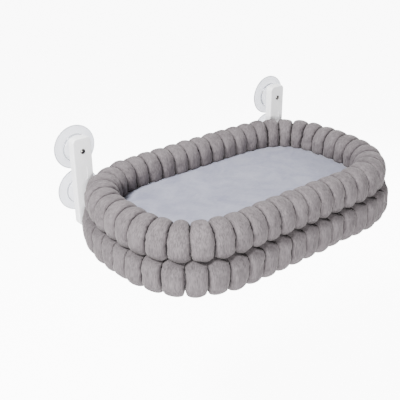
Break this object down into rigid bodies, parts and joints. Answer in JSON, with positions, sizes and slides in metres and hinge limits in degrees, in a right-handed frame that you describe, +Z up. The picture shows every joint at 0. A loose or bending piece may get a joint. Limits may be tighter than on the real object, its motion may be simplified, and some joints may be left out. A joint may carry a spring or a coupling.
{
  "type": "window mounted cat perch",
  "caption": "Padded oval cat nest inside two stacked rings of puffed plush rolls, on a fold-down steel frame held to glass by two brackets with suction cups.",
  "frame": {"origin": "on the window glass, midway between the four suction cups", "axes": "+X to the right seen from the room, +Y into the glass, +Z up"},
  "size_m": [0.5659, 0.357, 0.194],
  "materials": {
    "roll_plush": "short pile grey-taupe plush",
    "pad_plush": "smooth light bluish grey velvet",
    "sling_cloth": "plain woven polyester",
    "white_abs": "moulded ABS, satin",
    "clear_pvc": "translucent soft PVC",
    "nickel_screw": "bright nickel plated",
    "zinc_steel": "zinc plated",
    "black_steel": "black oxide",
    "brass_insert": "turned brass",
    "nylon": "natural nylon",
    "coated_steel": "powder coated light grey"
  },
  "bodies": {
    "brackets": {"bracket_shell_left": "white_abs", "bracket_shell_right": "white_abs", "bracket_cover_left": "white_abs", "bracket_cover_right": "white_abs", "cover_screws": "zinc_steel", "suction_cup_upper_left": "clear_pvc", "suction_cup_lower_left": "clear_pvc", "suction_cup_upper_right": "clear_pvc", "suction_cup_lower_right": "clear_pvc", "cup_inserts": "brass_insert", "cup_washers": "zinc_steel", "cup_screws": "nickel_screw", "pivot_pin_left": "zinc_steel", "pivot_pin_right": "zinc_steel", "pin_set_screws": "black_steel"},
    "bolt_left": {"thumb_slide_left": "white_abs", "lock_bolt_left": "zinc_steel"},
    "bolt_right": {"thumb_slide_right": "white_abs", "lock_bolt_right": "zinc_steel"},
    "nest": {"hinge_bush_left": "nylon", "hinge_bush_right": "nylon", "arm_left": "coated_steel", "arm_right": "coated_steel", "frame_half_left": "coated_steel", "frame_half_right": "coated_steel", "frame_joiner_front": "zinc_steel", "frame_joiner_rear": "zinc_steel", "joiner_screws": "zinc_steel", "sling": "sling_cloth", "pad": "pad_plush", "upper_roll": "roll_plush", "lower_roll": "roll_plush"}
  },
  "joints": [
    {"name": "fold", "type": "hinge", "parent": "brackets", "child": "nest", "pos_m": [0, -0.0218, -0.0924], "axis": [1, 0, 0], "range_deg": [0, 90]},
    {"name": "lock_left", "type": "slide", "parent": "brackets", "child": "bolt_left", "axis": [1, 0, 0], "range_m": [0, 0.006]},
    {"name": "lock_right", "type": "slide", "parent": "brackets", "child": "bolt_right", "axis": [-1, 0, 0], "range_m": [0, 0.006]}
  ]
}
